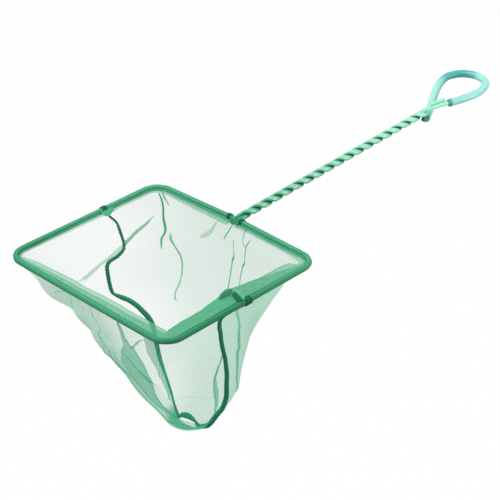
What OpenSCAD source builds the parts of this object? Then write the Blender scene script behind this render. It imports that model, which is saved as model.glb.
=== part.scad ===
// Aquarium fish net. One plastic-coated wire is bent into a square hoop, its two ends are
// twisted together into the handle, and one end goes on round a sleeved hanging loop.
// A bag of two net panels hangs from a folded hem on the hoop.
// X runs along the handle away from the hoop, Z is up, and the origin is on the handle's
// axis, where a hand or a clip holds it.

/* [Wire] */
// Diameter of the steel core
core_d = 2; // [1.2:0.1:2.6]
// Thickness of the plastic coat
coat_t = 0.4; // [0.2:0.05:0.7]
// Gap between the core and its coat
core_gap = 0.05; // [0.02:0.01:0.1]

/* [Hoop] */
// Length of the hoop along the handle, outside of the wire
hoop_length = 130; // [90:1:200]
// Width of the hoop across the handle, outside of the wire
hoop_width = 148; // [100:1:220]
// Radius of the hoop's corners, at the middle of the wire
corner_r = 12; // [8:0.5:20]
// How far the hoop bows out where the handle leaves it
side_bow = 2.3; // [0:0.1:6]
// Radius of the bends into the handle, at the middle of the wire
root_r = 2.2; // [1.8:0.1:4]

/* [Handle] */
// Length of the handle from the hoop to the end of the twist
handle_length = 188; // [120:1:300]
// Length of one full turn of the twist
turn_length = 20.4; // [16:0.1:32]
// Length over which the twist starts
twist_lead = 5.4; // [3:0.1:10]
// Gap between the two strands
strand_gap = 0.22; // [0.1:0.01:0.5]
// Rise of the handle out of the hoop's plane, in degrees
handle_rise = 2.3; // [0:0.1:8]
// Distance from the hoop to the place where the handle is held
grip_from_hoop = 130; // [60:1:180]
// Length of the free wire end beyond the twist
tip_length = 24; // [12:0.5:40]

/* [Hanging loop] */
// Length of the loop beyond the twist
loop_length = 74; // [50:1:110]
// Width of the loop, wire to wire
loop_width = 34; // [24:1:60]
// How far the returning wire passes below the twist
loop_drop = 6; // [5.8:0.1:9]
// Outside diameter of the sleeve
sleeve_d = 5.6; // [5:0.1:7]
// Bore of the sleeve
sleeve_bore = 4.2; // [3.6:0.1:4.8]

/* [Hem] */
// Thickness of the folded hem fabric
hem_t = 0.4; // [0.3:0.05:1]
// Gap between the hem and the wire inside it
hem_gap = 0.1; // [0.05:0.01:0.3]
// Width of the hem's inner flap on the right side
flap_right = 11.5; // [6:0.5:16]
// Width of the flap on the side away from the handle
flap_end = 8; // [4:0.5:16]
// Width of the flap on the left side and the handle side
flap_back = 2; // [1.5:0.5:8]
// Width of the flap at the corner between those two sides
flap_near = 8.5; // [4:0.5:9.5]
// Width of the flap at the other corners
flap_corner = 2.6; // [1.5:0.1:6]
// Length of the thread tacks that close the hem
tack_length = 2.6; // [1.5:0.1:4]
// How far a tack stands proud of the hem
tack_proud = 0.5; // [0.2:0.1:1]
// Distance of the tacks from the middle of the handle slot
slot_half = 6.5; // [5:0.1:12]
// Diameter of the hem's sewing thread
thread_d = 0.5; // [0.3:0.05:0.8]

/* [Bag] */
// Depth of the bag below the hoop
bag_depth = 125; // [80:1:180]
// Thickness of the net
net_t = 0.6; // [0.3:0.05:1]
// Width of the overlock seam that joins the two panels
seam_w = 2.4; // [1.6:0.1:4]
// Thickness of the overlock seam
seam_t = 1.6; // [1:0.1:3]
// Clearance between the seam, the net and the hem
sewn_gap = 0.15; // [0.1:0.01:0.3]

/* [Facets] */
// Sides of a wire
wire_sides = 8; // [6:1:12]
// Rings in one turn of the twist
turn_rings = 9; // [8:1:16]
// Rings in one bend of the wire
bend_rings = 5; // [3:1:12]
// Rings between two points of the loop's route
route_rings = 2; // [1:1:6]
// Sides of the hem's sewing thread
thread_sides = 6; // [4:1:10]
// Sides of the overlock seam
seam_sides = 8; // [6:1:12]

/* [Hidden] */
$fn = 48;

wire_r = core_d / 2 + core_gap + coat_t;
bore_r = core_d / 2 + core_gap;
twist_r = wire_r + strand_gap / 2;
half_w = hoop_width / 2 - wire_r;
handle_side_x = -side_bow;
end_side_x = handle_side_x - (hoop_length - 2 * wire_r);
centre_length = handle_side_x - end_side_x;

hem_in_r = wire_r + hem_gap;
hem_out_r = hem_in_r + hem_t;
slit = 2 * hem_gap;
stitch_in = hem_out_r + 2 * thread_d;

// Places along the left and right sides, from the handle side, where the hem is joined
join_left_share = 0.38;
join_right_share = 0.5;
join_left_x = handle_side_x - join_left_share * centre_length;
join_right_x = handle_side_x - join_right_share * centre_length;

// Route of the loop beyond the twist: along, across and up, as shares of the loop's
// length, its width and its drop
loop_shares = [
    [0.16, -0.05, 0.25], [0.26, -0.09, 0.15], [0.355, -0.135, 0.07], [0.525, -0.24, 0],
    [0.74, -0.305, 0], [0.925, -0.16, 0], [1, 0.17, 0], [0.95, 0.5, 0],
    [0.825, 0.68, -0.05], [0.7, 0.665, -0.18], [0.585, 0.58, -0.35], [0.465, 0.455, -0.56],
    [0.355, 0.325, -0.79], [0.22, 0.16, -1], [0.087, 0.018, -1], [0.04, -0.04, -0.82],
    [0, -0.07, -0.5]];
// Points of that route before the sleeve, and points from there to the sleeve's end
points_before_sleeve = 2;
points_in_sleeve = 12;
// Route of the free wire end, as shares of its length and of the strand's circle
tip_shares = [[0.52, 1.3, 0.75], [0.67, 0.6, 1.45], [0.83, -0.5, 1.85], [1, -1.5, 2]];
// Shares of a turn that the strands go on past the twist before these routes take over
left_over_share = 0.2;
right_over_share = 0.4;

// Shape of the bag from the hem down. Each row holds shares: its depth; the left seam's
// place along and across; the right seam's place along and across; and the belly of the
// near and the far panel.
bag_shares = [
    [0, 0.38, 1, 0.5, -1, 1, 1],
    [0.08, 0.325, 0.93, 0.56, -0.88, 0.85, 1],
    [0.16, 0.32, 0.88, 0.55, -0.8, 0.76, 1],
    [0.22, 0.37, 0.85, 0.515, -0.75, 0.73, 0.98],
    [0.27, 0.455, 0.84, 0.5, -0.725, 0.71, 0.94],
    [0.35, 0.465, 0.82, 0.475, -0.7, 0.68, 0.85],
    [0.42, 0.455, 0.76, 0.45, -0.685, 0.65, 0.74],
    [0.47, 0.395, 0.56, 0.435, -0.67, 0.62, 0.66],
    [0.55, 0.365, 0.42, 0.415, -0.66, 0.57, 0.55],
    [0.72, 0.41, 0.28, 0.39, -0.61, 0.45, 0.34],
    [0.86, 0.43, 0.12, 0.4, -0.52, 0.32, 0.2],
    [0.95, 0.435, 0.03, 0.415, -0.4, 0.2, 0.08],
    [1, 0.43, -0.03, 0.42, -0.27, 0.03, 0.02]];
// Shares of the depth over which the square mouth turns into the round bag, at the near and
// the far panel, and the powers that make those panels' bellies slack or full
near_square_share = 0.35;
far_square_share = 0.52;
near_power = 1.3;
far_power = 0.75;

function unit(v) = v / norm(v);
function final(list) = list[len(list) - 1];
function reversed(list) = [for (i = [len(list) - 1:-1:0]) list[i]];
function without_first(list) = [for (i = [1:1:len(list) - 1]) list[i]];
function mix(a, b, f) = a + (b - a) * f;
function eased(f) = let (g = min(1, max(0, f))) g * g * (3 - 2 * g);

// Points of an arc of radius r that rounds the corner b between a and c
function bend(a, b, c, r) = let (
    u = unit(a - b), v = unit(c - b), half = acos(u * v) / 2,
    middle = b + unit(u + v) * r / sin(half),
    from = b + u * r / tan(half) - middle, to = b + v * r / tan(half) - middle,
    turn = 180 - 2 * half)
    [for (i = [0:bend_rings]) let (f = i / bend_rings)
        middle + (sin((1 - f) * turn) * from + sin(f * turn) * to) / sin(turn)];

// Path through corners v, rounded by radii r, with m points in each straight
function rounded(v, r, m) = let (
    ends = len(v) - 1,
    arcs = [for (i = [0:ends]) i == 0 || i == ends ? [v[i]] : bend(v[i - 1], v[i], v[i + 1], r[i])])
    [for (i = [0:ends]) each concat(arcs[i], i == ends ? [] :
        [for (j = [1:1:m[i]]) mix(final(arcs[i]), arcs[i + 1][0], j / (m[i] + 1))])];

// Smooth curve through points, with n steps between each two
function through(p, n) = let (ends = len(p) - 1)
    [for (i = [0:ends - 1]) each [for (j = [0:n - 1]) let (
        f = j / n, b = p[i], c = p[i + 1], a = p[max(0, i - 1)], d = p[min(ends, i + 2)])
        b + 0.5 * f * ((c - a) + f * ((2 * a - 5 * b + 4 * c - d) + f * (3 * b - a - 3 * c + d)))],
        p[ends]];

// Corners of the hoop, at the middle of the wire, and the ends of its bends into the handle
corner_right = [handle_side_x, -half_w, 0];
corner_near = [end_side_x, -half_w, 0];
corner_left = [end_side_x, half_w, 0];
corner_back = [handle_side_x, half_w, 0];
root_right = [0, -twist_r, 0];
root_left = [0, twist_r, 0];
// Length of a bend into the handle as a share of its radius, and the points in a straight side
root_share = 1.1;
root_out = root_share * root_r;
side_points = 2;
hoop_path = rounded(
    [[root_out, -twist_r, 0], root_right, corner_right, corner_near, corner_left,
        corner_back, root_left, [root_out, twist_r, 0]],
    [0, root_r, corner_r, corner_r, corner_r, corner_r, root_r, 0],
    [0, side_points, side_points, side_points, side_points, side_points, 0]);

// A place on the handle: along its axis, across and up, with the handle's rise
function on_handle(p) = [
    p.x * cos(handle_rise) - p.z * sin(handle_rise), p.y,
    p.x * sin(handle_rise) + p.z * cos(handle_rise)];
function turned(x) = let (y = x - root_out, rate = 360 / turn_length)
    y < twist_lead ? rate * y * y / (2 * twist_lead) : rate * (y - twist_lead / 2);
function on_strand(x, start) = on_handle(
    [x, twist_r * cos(turned(x) + start), twist_r * sin(turned(x) + start)]);
ring_step = turn_length / turn_rings;
function strand(start, over) = [
    for (x = [root_out + ring_step:ring_step:handle_length + over * turn_length])
        on_strand(x, start)];
left_strand = strand(0, left_over_share);
right_strand = strand(180, right_over_share);

loop_points = [for (p = loop_shares) on_handle(
    [handle_length + p.x * loop_length, p.y * loop_width, p.z * loop_drop])];
tip_points = [for (p = tip_shares) on_handle(
    [handle_length + p.x * tip_length, p.y * twist_r, p.z * twist_r])];
loop_path = without_first(through(concat([final(left_strand)], loop_points), route_rings));
tip_path = without_first(through(concat([final(right_strand)], tip_points), route_rings));

// The whole wire, from its free tip to the end tucked in beside the twist
wire = concat(reversed(tip_path), reversed(right_strand), hoop_path, left_strand, loop_path);
right_from = 0;
right_to = len(tip_path) + len(right_strand);
hoop_to = right_to + len(hoop_path) - 1;
left_to = hoop_to + len(left_strand);
loop_to = len(wire) - 1;

// Directions along a path, and sides that turn as little as the path lets them
function along(p) = [for (i = [0:len(p) - 1])
    unit(p[min(len(p) - 1, i + 1)] - p[max(0, i - 1)])];
function square_to(v, t) = unit(v - (v * t) * t);
function sides(t, first) = [for (i = 0, s = square_to(first, t[0]); i < len(t);
    i = i + 1, s = i < len(t) ? square_to(s, t[i]) : s) s];
wire_along = along(wire);
wire_side = sides(wire_along, [0, 0, 1]);

// Ring of n points round p, square to t, with half widths a along s and b across it
function ring(p, t, s, a, b, n) = [for (j = [0:n - 1])
    p + a * cos(360 * j / n) * s + b * sin(360 * j / n) * cross(t, s)];
function wire_rings(from, to, r) = [for (i = [from:to])
    ring(wire[i], wire_along[i], wire_side[i], r, r, wire_sides)];
function tube_rings(p, r, n) = let (t = along(p), s = sides(t, [0, 0, 1]))
    [for (i = [0:len(p) - 1]) ring(p[i], t[i], s[i], r, r, n)];

// Two triangles for the four corners a, b, c, d
function pair(a, b, c, d) = [[a, b, c], [a, c, d]];

// Closed solid through a list of rings
module loft(rings) {
    n = len(rings[0]);
    rows = len(rings);
    polyhedron([for (r = rings) each r], concat(
        [for (k = [0:rows - 2], j = [0:n - 1]) let (h = (j + 1) % n)
            each pair(k * n + j, (k + 1) * n + j, (k + 1) * n + h, k * n + h)],
        [for (j = [1:n - 2]) [0, j, j + 1]],
        [for (j = [1:n - 2]) [(rows - 1) * n, (rows - 1) * n + j + 1, (rows - 1) * n + j]]));
}

// Wall between an outer and an inner grid of points, closed round when wrap is true
module wall(outer, inner, wrap) {
    n = len(outer[0]);
    rows = len(outer);
    all = rows * n;
    spans = wrap ? n - 1 : n - 2;
    end = (rows - 1) * n;
    polyhedron(concat([for (r = outer) each r], [for (r = inner) each r]), concat(
        [for (k = [0:rows - 2], j = [0:spans]) let (h = (j + 1) % n, a = k * n, b = a + n)
            each pair(a + j, b + j, b + h, a + h)],
        [for (k = [0:rows - 2], j = [0:spans]) let (h = (j + 1) % n, a = all + k * n, b = a + n)
            each pair(a + j, a + h, b + h, b + j)],
        [for (j = [0:spans]) let (h = (j + 1) % n) each pair(j, h, all + h, all + j)],
        [for (j = [0:spans]) let (h = (j + 1) % n)
            each pair(end + j, all + end + j, all + end + h, end + h)],
        wrap ? [] : [for (k = [0:rows - 2]) let (a = k * n, b = a + n)
            each pair(b, a, all + a, all + b)],
        wrap ? [] : [for (k = [0:rows - 2]) let (a = k * n + n - 1, b = a + n)
            each pair(a, b, all + b, all + a)]));
}

module in_place() {
    translate(-on_handle([grip_from_hoop, 0, 0])) children();
}

module coat(from, to) {
    wall(wire_rings(from, to, wire_r), wire_rings(from, to, bore_r), true);
}

module wire_core() {
    color("silver") in_place() loft(wire_rings(0, loop_to, core_d / 2));
}

module hoop_coat() {
    color("seagreen") in_place() coat(right_to, hoop_to);
}

module left_strand_coat() {
    color("mediumseagreen") in_place() coat(hoop_to, left_to);
}

module right_strand_coat() {
    color("mediumaquamarine") in_place() coat(0, right_to);
}

module loop_coat() {
    color("mediumseagreen") in_place() coat(left_to, loop_to);
}

module loop_sleeve() {
    first = left_to + (points_before_sleeve + 1) * route_rings;
    end = first + points_in_sleeve * route_rings;
    color("paleturquoise", 0.6) in_place()
        wall(wire_rings(first, end, sleeve_d / 2), wire_rings(first, end, sleeve_bore / 2), true);
}

// Width and tilt of the hem's flap at a point of the hoop: those of the corner up to
// corner_zone from its point, and those of the side from flap_run beyond that
corner_zone = corner_r / 3;
flap_run_shares = 3.8;
flap_run = flap_run_shares * corner_r;
flap_tilts = [9, 6, -58];
near_tilt = 4;
corner_tilt = -30;
function by_near_corner(p) = norm(p - corner_near) < centre_length / 2;
function corner_away(p) = min([for (c = [corner_right, corner_near, corner_left, corner_back])
    norm(p - c)]);
function flap_side(p) = p.y < -half_w + corner_zone ? 0 : p.x < end_side_x + corner_zone ? 1 : 2;
function flap_full(p) = min(1, max(0, (corner_away(p) - corner_zone) / flap_run));
function flap_width(p) = hem_out_r
    + mix(by_near_corner(p) ? flap_near : flap_corner,
        [flap_right, flap_end, flap_back][flap_side(p)], flap_full(p));
function flap_tilt(p) = mix(by_near_corner(p) ? near_tilt : corner_tilt,
    flap_tilts[flap_side(p)], flap_full(p));

// Point of the hem's section at p: a goes into the hoop, b goes up, both turned by tilt
function in_section(p, t, tilt, a, b) = p + (a * cos(tilt) - b * sin(tilt)) * cross(t, [0, 0, 1])
    + [0, 0, a * sin(tilt) + b * cos(tilt)];
wrap_angles = [40, 85, 135, 180, 225, 275, 320];
// One side of the folded hem: out along the upper layer, round the wire and back below
function fold(p, t, w, tilt, r, rise) = concat(
    [in_section(p, t, tilt, w, rise), in_section(p, t, tilt, stitch_in, rise)],
    [for (g = wrap_angles) in_section(p, t, tilt, r * cos(g), r * sin(g))],
    [in_section(p, t, tilt, stitch_in, -rise), in_section(p, t, tilt, w, -rise)]);

module hem(path) {
    t = along(path);
    rows = [0:len(path) - 1];
    wall(
        [for (i = rows) fold(path[i], t[i], flap_width(path[i]), flap_tilt(path[i]),
            hem_out_r, slit / 2 + hem_t)],
        [for (i = rows) fold(path[i], t[i], flap_width(path[i]), flap_tilt(path[i]),
            hem_in_r, slit / 2)], false);
}

// Sewing thread that runs along the hem, just inside the wire
module stitching(path) {
    t = along(path);
    rise = slit / 2 + hem_t + thread_d / 2 + hem_gap / 4;
    loft(tube_rings([for (i = [0:len(path) - 1])
        in_section(path[i], t[i], flap_tilt(path[i]), stitch_in, rise)],
        thread_d / 2, thread_sides));
}

tack_room = tack_length / 2 + sewn_gap;
slot_out = slot_half + tack_room;
slot_x = -side_bow * slot_out / half_w;
join_left = [join_left_x, half_w, 0];
join_right = [join_right_x, -half_w, 0];
hem_points = 3;
near_path = rounded(
    [join_right - [tack_room, 0, 0], corner_near, corner_left, join_left - [tack_room, 0, 0]],
    [0, corner_r, corner_r, 0], [hem_points, 2 * hem_points, hem_points]);
left_path = rounded([join_left + [tack_room, 0, 0], corner_back, [slot_x, slot_out, 0]],
    [0, corner_r, 0], [hem_points, hem_points]);
right_path = rounded([[slot_x, -slot_out, 0], corner_right, join_right + [tack_room, 0, 0]],
    [0, corner_r, 0], [hem_points, hem_points]);

// Least gaps between lengths of the wire that pass each other
function least_gap(a, b) = min([for (p = a, q = b) norm(p - q)]) - 2 * wire_r;
echo(least_gap_between_strands = least_gap(left_strand, right_strand));
echo(least_gap_of_loop_to_handle = least_gap(
    [for (i = [left_to + 2 * route_rings:loop_to - 5 * route_rings]) wire[i]],
    concat(right_strand, tip_path)));

module hem_near() {
    color("seagreen") in_place() hem(near_path);
}

module hem_left() {
    color("seagreen") in_place() hem(left_path);
}

module hem_right() {
    color("seagreen") in_place() hem(right_path);
}

module stitching_near() {
    color("darkgreen") in_place() stitching(near_path);
}

module stitching_left() {
    color("darkgreen") in_place() stitching(left_path);
}

module stitching_right() {
    color("darkgreen") in_place() stitching(right_path);
}

// Band of thread round the wire where two lengths of hem meet, with its edges eased
module tack(p, angle) {
    ease = tack_proud / 2;
    outer = hem_out_r + tack_proud;
    translate(p) rotate([0, 0, angle]) rotate([90, 0, 0]) rotate_extrude()
        polygon([
            [hem_in_r, -tack_length / 2], [outer - ease, -tack_length / 2],
            [outer, ease - tack_length / 2], [outer, tack_length / 2 - ease],
            [outer - ease, tack_length / 2], [hem_in_r, tack_length / 2]]);
}

module tack_left() {
    color("darkgreen") in_place() tack(join_left, 90);
}

module tack_right() {
    color("darkgreen") in_place() tack(join_right, 90);
}

module slot_tacks() {
    lean = atan(side_bow / half_w);
    x = -side_bow * slot_half / half_w;
    color("darkgreen") in_place() {
        tack([x, slot_half, 0], lean);
        tack([x, -slot_half, 0], -lean);
    }
}

// Length along a path up to each of its points, as a share of the whole
function path_shares(p) = let (steps = [for (i = [1:len(p) - 1]) norm(p[i] - p[i - 1])],
    sums = [for (i = 0, s = 0; i < len(p); s = s + (i < len(steps) ? steps[i] : 0), i = i + 1) s])
    sums / final(sums);

seam_half = seam_w / 2 + sewn_gap;
net_top = -hem_out_r - sewn_gap;
function seam_left(row) = [handle_side_x - row[1] * centre_length, row[2] * half_w,
    net_top - row[0] * bag_depth];
function seam_right(row) = [handle_side_x - row[3] * centre_length, row[4] * half_w,
    net_top - row[0] * bag_depth];

// Point of a net panel, below the hem's point top: u goes from the left seam to the right
// one, at a row of the bag. The side is -1 for the near panel and 1 for the far one.
function bag_point(top, u, row, side) = let (
    swing = (1 - cos(180 * u)) / 2, base = mix(seam_left(row), seam_right(row), swing),
    mouth = mix(join_left, join_right, swing),
    room = side < 0 ? base.x - end_side_x : handle_side_x - base.x,
    belly = seam_half + (room - seam_half) * row[side < 0 ? 5 : 6]
        * pow(max(0, sin(180 * u)), side < 0 ? near_power : far_power),
    f = eased(row[0] / (side < 0 ? near_square_share : far_square_share)))
    [base.x + mix(top.x - mouth.x, side * belly, f), base.y + mix(top.y - mouth.y, 0, f), base.z];

module net(path, side) {
    shares = path_shares(path);
    grid = [for (row = bag_shares) [for (i = [0:len(path) - 1])
        bag_point(path[i], shares[i], row, side)]];
    rows = len(grid) - 1;
    columns = len(path) - 1;
    inside = [for (k = [0:rows]) [for (i = [0:columns]) grid[k][i] - side * net_t * unit(cross(
        grid[min(rows, k + 1)][i] - grid[max(0, k - 1)][i],
        grid[k][min(columns, i + 1)] - grid[k][max(0, i - 1)]))]];
    if (side < 0) wall(grid, inside, false);
    else wall(inside, grid, false);
}

module net_near() {
    color("honeydew", 0.5) in_place() net(reversed(near_path), -1);
}

far_path = concat(left_path, right_path);
module net_far() {
    color("honeydew", 0.5) in_place() net(far_path, 1);
}

seam_path = concat([for (row = bag_shares) seam_left(row)],
    reversed([for (row = bag_shares) seam_right(row)]));
module bag_seam() {
    t = along(seam_path);
    color("darkgreen") in_place() loft([for (i = [0:len(seam_path) - 1])
        ring(seam_path[i], t[i], square_to([1, 0, 0], t[i]), seam_w / 2, seam_t / 2,
            seam_sides)]);
}

wire_core();
hoop_coat();
left_strand_coat();
right_strand_coat();
loop_coat();
loop_sleeve();
hem_near();
hem_left();
hem_right();
stitching_near();
stitching_left();
stitching_right();
tack_left();
tack_right();
slot_tacks();
net_near();
net_far();
bag_seam();
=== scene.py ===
# %% [markdown]
# # An aquarium fish net
# This lesson dresses a small hand net for an aquarium. The frame holds the real sizes: one
# coated wire bent into a square hoop and twisted into a handle, a hem, a mesh bag and a sleeve.
# Here each piece gets the form and the finish that the eye sees. We model in millimetres, in
# the hoop's own coordinates, and move each finished mesh into the frame in metres.

# %% Load the frame
import math

import bmesh
import bpy
import numpy as np
from mathutils import Matrix, Vector, noise


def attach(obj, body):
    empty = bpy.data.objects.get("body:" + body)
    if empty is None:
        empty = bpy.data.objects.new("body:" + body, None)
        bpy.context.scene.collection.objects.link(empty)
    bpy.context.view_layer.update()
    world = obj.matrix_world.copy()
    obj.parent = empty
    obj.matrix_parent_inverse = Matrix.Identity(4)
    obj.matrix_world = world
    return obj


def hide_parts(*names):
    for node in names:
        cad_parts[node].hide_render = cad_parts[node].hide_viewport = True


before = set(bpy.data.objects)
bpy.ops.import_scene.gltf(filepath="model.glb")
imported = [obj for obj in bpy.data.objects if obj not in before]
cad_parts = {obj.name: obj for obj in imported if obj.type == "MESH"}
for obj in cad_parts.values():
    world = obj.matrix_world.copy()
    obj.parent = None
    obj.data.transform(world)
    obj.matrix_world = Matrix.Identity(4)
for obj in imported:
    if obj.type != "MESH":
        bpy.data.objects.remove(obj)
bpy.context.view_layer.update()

print("nodes in the frame:", len(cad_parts))

# %% [markdown]
# ## Where things are
# The hoop's plane is level and the handle leaves it at x = 0 with a slight rise. The frame's
# origin is the grip on the handle, so one shift and one scale bring every piece into place.
# The sizes repeat the ones of the construction, so that each piece fits what carries it.

# %% Sizes and place
MM = 0.001
HANDLE_RISE = math.radians(2.3)
GRIP_FROM_HOOP = 130.0
HOOP_LENGTH, HOOP_WIDTH = 130.0, 148.0
WIRE_R, CORE_R = 1.45, 1.0
CORNER_R, ROOT_R, SIDE_BOW = 12.0, 2.2, 2.3


def on_handle(along, across, up):
    """A place given along the handle's axis, across it and up, in hoop coordinates."""
    c, s = math.cos(HANDLE_RISE), math.sin(HANDLE_RISE)
    return Vector((along * c - up * s, across, along * s + up * c))


def from_handle(p):
    """The same the other way round."""
    c, s = math.cos(HANDLE_RISE), math.sin(HANDLE_RISE)
    return p[0] * c + p[2] * s, p[1], p[2] * c - p[0] * s


GRIP = on_handle(GRIP_FROM_HOOP, 0, 0)
HALF_W = HOOP_WIDTH / 2 - WIRE_R
HANDLE_SIDE_X = -SIDE_BOW
END_SIDE_X = HANDLE_SIDE_X - (HOOP_LENGTH - 2 * WIRE_R)
CENTRE_LENGTH = HANDLE_SIDE_X - END_SIDE_X
print("grip is", round(GRIP.x, 1), "mm from the hoop")

# %% [markdown]
# ## Camera
# The photograph looks down on the net from its open, hoop end. The lens is long, so the hoop
# shows little perspective. Position and angles are real ones, measured from the hoop.

# %% Camera
CAMERA_FROM_HOOP = Vector((-629.6, -637.1, 520.6))
LOOK_AZIMUTH, LOOK_DOWN, CAMERA_ROLL = 44.78, 31.26, -0.72
LENS, SENSOR, FAR_CLIP = 115.2, 36.0, 20.0


def add_camera():
    az, down = math.radians(LOOK_AZIMUTH), math.radians(LOOK_DOWN)
    look = Vector((math.cos(az) * math.cos(down), math.sin(az) * math.cos(down), -math.sin(down)))
    data = bpy.data.cameras.new("camera")
    data.lens, data.sensor_width, data.sensor_fit = LENS, SENSOR, "HORIZONTAL"
    data.clip_end = FAR_CLIP
    camera = bpy.data.objects.new("camera", data)
    bpy.context.scene.collection.objects.link(camera)
    camera.rotation_mode = "QUATERNION"
    roll = Matrix.Rotation(math.radians(CAMERA_ROLL), 3, "Z").to_quaternion()
    camera.rotation_quaternion = look.to_track_quat("-Z", "Y") @ roll
    camera.location = (CAMERA_FROM_HOOP - GRIP) * MM
    bpy.context.scene.camera = camera
    print("camera at", [round(v, 3) for v in camera.location])


add_camera()

# %% [markdown]
# ## Colours and nodes
# Every finish below is a small tree of nodes. One function turns a colour written in hex to
# the linear values that the renderer works with, and another adds a node and wires it up. In
# a Mix node for colours, input 0 is the share and inputs 6 and 7 are the two colours.

# %% Colours and nodes


def linear(hex_colour):
    """A colour written in hex, as four linear values."""
    parts = [int(hex_colour[i:i + 2], 16) / 255 for i in (1, 3, 5)]
    return [p / 12.92 if p <= 0.04045 else ((p + 0.055) / 1.055) ** 2.4 for p in parts] + [1.0]


def add(tree, kind, inputs=None, **settings):
    """Adds a node with its settings, and links or sets its inputs. A node that is given as an
    input is linked by the first of its outputs that is in use."""
    node = tree.nodes.new(kind)
    for key, value in settings.items():
        setattr(node, key, value)
    for key, value in (inputs or {}).items():
        if isinstance(value, bpy.types.Node):
            value = next(output for output in value.outputs if output.enabled)
        if isinstance(value, bpy.types.NodeSocket):
            tree.links.new(value, node.inputs[key])
        else:
            node.inputs[key].default_value = value
    return node


def new_tree(owner):
    owner.use_nodes = True
    owner.node_tree.nodes.clear()
    return owner.node_tree


def new_material(name):
    material = bpy.data.materials.new(name)
    return material, new_tree(material)


def close(tree, shader):
    add(tree, "ShaderNodeOutputMaterial", {"Surface": shader})

# %% [markdown]
# ## Light and floor
# The net hangs in front of plain white. A wide soft lamp above gives the wires their top light,
# a small one low on the right lights their flanks, and an even white world fills the rest. The
# camera sees the world and the floor as plain white, but the light that they give is dimmer,
# so that a colour renders about as it is written.

# %% World and floor
WORLD_LIGHT = 0.52
FLOOR_DROP, FLOOR_HALF, FLOOR_GLOW = 0.42, 3.0, 0.99
WHITE, BOARD = linear("#FFFFFF"), linear("#CDCDCB")


def seen_directly(tree):
    """1 where the camera sees this itself or through something clear, and 0 for other light."""
    path = add(tree, "ShaderNodeLightPath")
    return add(tree, "ShaderNodeMath", {0: path.outputs["Is Camera Ray"],
        1: path.outputs["Is Transmission Ray"]}, operation="MAXIMUM")


def add_world():
    world = bpy.data.worlds.new("white_room")
    bpy.context.scene.world = world
    tree = new_tree(world)
    light = add(tree, "ShaderNodeBackground", {"Color": WHITE, "Strength": WORLD_LIGHT})
    plain = add(tree, "ShaderNodeBackground", {"Color": WHITE, "Strength": 1.0})
    both = add(tree, "ShaderNodeMixShader", {0: seen_directly(tree), 1: light, 2: plain})
    add(tree, "ShaderNodeOutputWorld", {"Surface": both})


def painted_board():
    """A matt light grey, which the camera sees as white."""
    material, tree = new_material("white painted board")
    paint = add(tree, "ShaderNodeBsdfDiffuse", {"Color": BOARD})
    glow = add(tree, "ShaderNodeEmission", {"Color": WHITE, "Strength": 1.0})
    share = add(tree, "ShaderNodeMath", {0: seen_directly(tree), 1: FLOOR_GLOW},
        operation="MULTIPLY")
    close(tree, add(tree, "ShaderNodeMixShader", {0: share, 1: paint, 2: glow}))
    return material


def add_floor():
    mesh = bpy.data.meshes.new("floor")
    bm = bmesh.new()
    bmesh.ops.create_grid(bm, x_segments=1, y_segments=1, size=FLOOR_HALF)
    bmesh.ops.translate(bm, verts=bm.verts, vec=(0, 0, -FLOOR_DROP))
    bm.to_mesh(mesh)
    bm.free()
    mesh.materials.append(painted_board())
    floor = bpy.data.objects.new("floor", mesh)
    bpy.context.scene.collection.objects.link(floor)


bpy.context.scene.view_settings.view_transform = "Standard"
add_world()
add_floor()

# %% Lamps
# Name, place, what it is aimed at, size and power, in metres and watts
LAMPS = [("soft_top", (-0.5, 0.2, 1.3), (-0.1, 0, 0), 0.9, 20.0),
         ("low_front", (0.5, -0.9, 0.12), (-0.05, 0, 0), 0.3, 4.5)]


def add_lamp(name, place, aim, size, power):
    data = bpy.data.lights.new(name, "AREA")
    data.size, data.energy = size, power
    lamp = bpy.data.objects.new(name, data)
    bpy.context.scene.collection.objects.link(lamp)
    lamp.location = place
    lamp.rotation_euler = (Vector(aim) - Vector(place)).to_track_quat("-Z", "Y").to_euler()


for lamp in LAMPS:
    add_lamp(*lamp)
print("lamps:", [lamp[0] for lamp in LAMPS])

# %% [markdown]
# ## Helpers for finished pieces
# A finished object sits unturned at the origin with its place in its mesh, so that patterns on
# Object coordinates stay put. The first helper does that move and files the piece: what it rides on
# and which part of the frame it stands for. The second sweeps tubes, and the last two ease one
# shape into another.

# %% Finishing a piece


def finish_piece(name, mesh, material, stands_for=()):
    """Moves a mesh made in millimetres at the hoop into the frame and files it as a piece."""
    mesh.name = name
    mesh.transform(Matrix.Scale(MM, 4) @ Matrix.Translation(-GRIP))
    mesh.materials.clear()
    mesh.materials.append(material)
    mesh.polygons.foreach_set("use_smooth", [True] * len(mesh.polygons))
    piece = bpy.data.objects.new(name, mesh)
    bpy.context.scene.collection.objects.link(piece)
    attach(piece, "root")
    if stands_for:
        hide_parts(*stands_for)
    print(name, len(mesh.polygons), "faces")
    return piece

# %% Tubes


def tubes(paths, radius, ring, caps=True, swell=None):
    """One mesh with a round tube along each path; swell scales its radius at each point."""
    curve = bpy.data.curves.new("route", "CURVE")
    curve.dimensions = "3D"
    curve.bevel_depth = radius
    curve.bevel_resolution = max(0, ring // 2 - 2)
    curve.use_fill_caps = caps
    for path in paths:
        spline = curve.splines.new("POLY")
        spline.points.add(len(path) - 1)
        for k, (point, place) in enumerate(zip(spline.points, path)):
            point.co = (*place, 1)
            point.radius = swell[k] if swell is not None else 1
    holder = bpy.data.objects.new("route", curve)
    mesh = bpy.data.meshes.new_from_object(holder)
    bpy.data.objects.remove(holder)
    bpy.data.curves.remove(curve)
    return mesh


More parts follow.
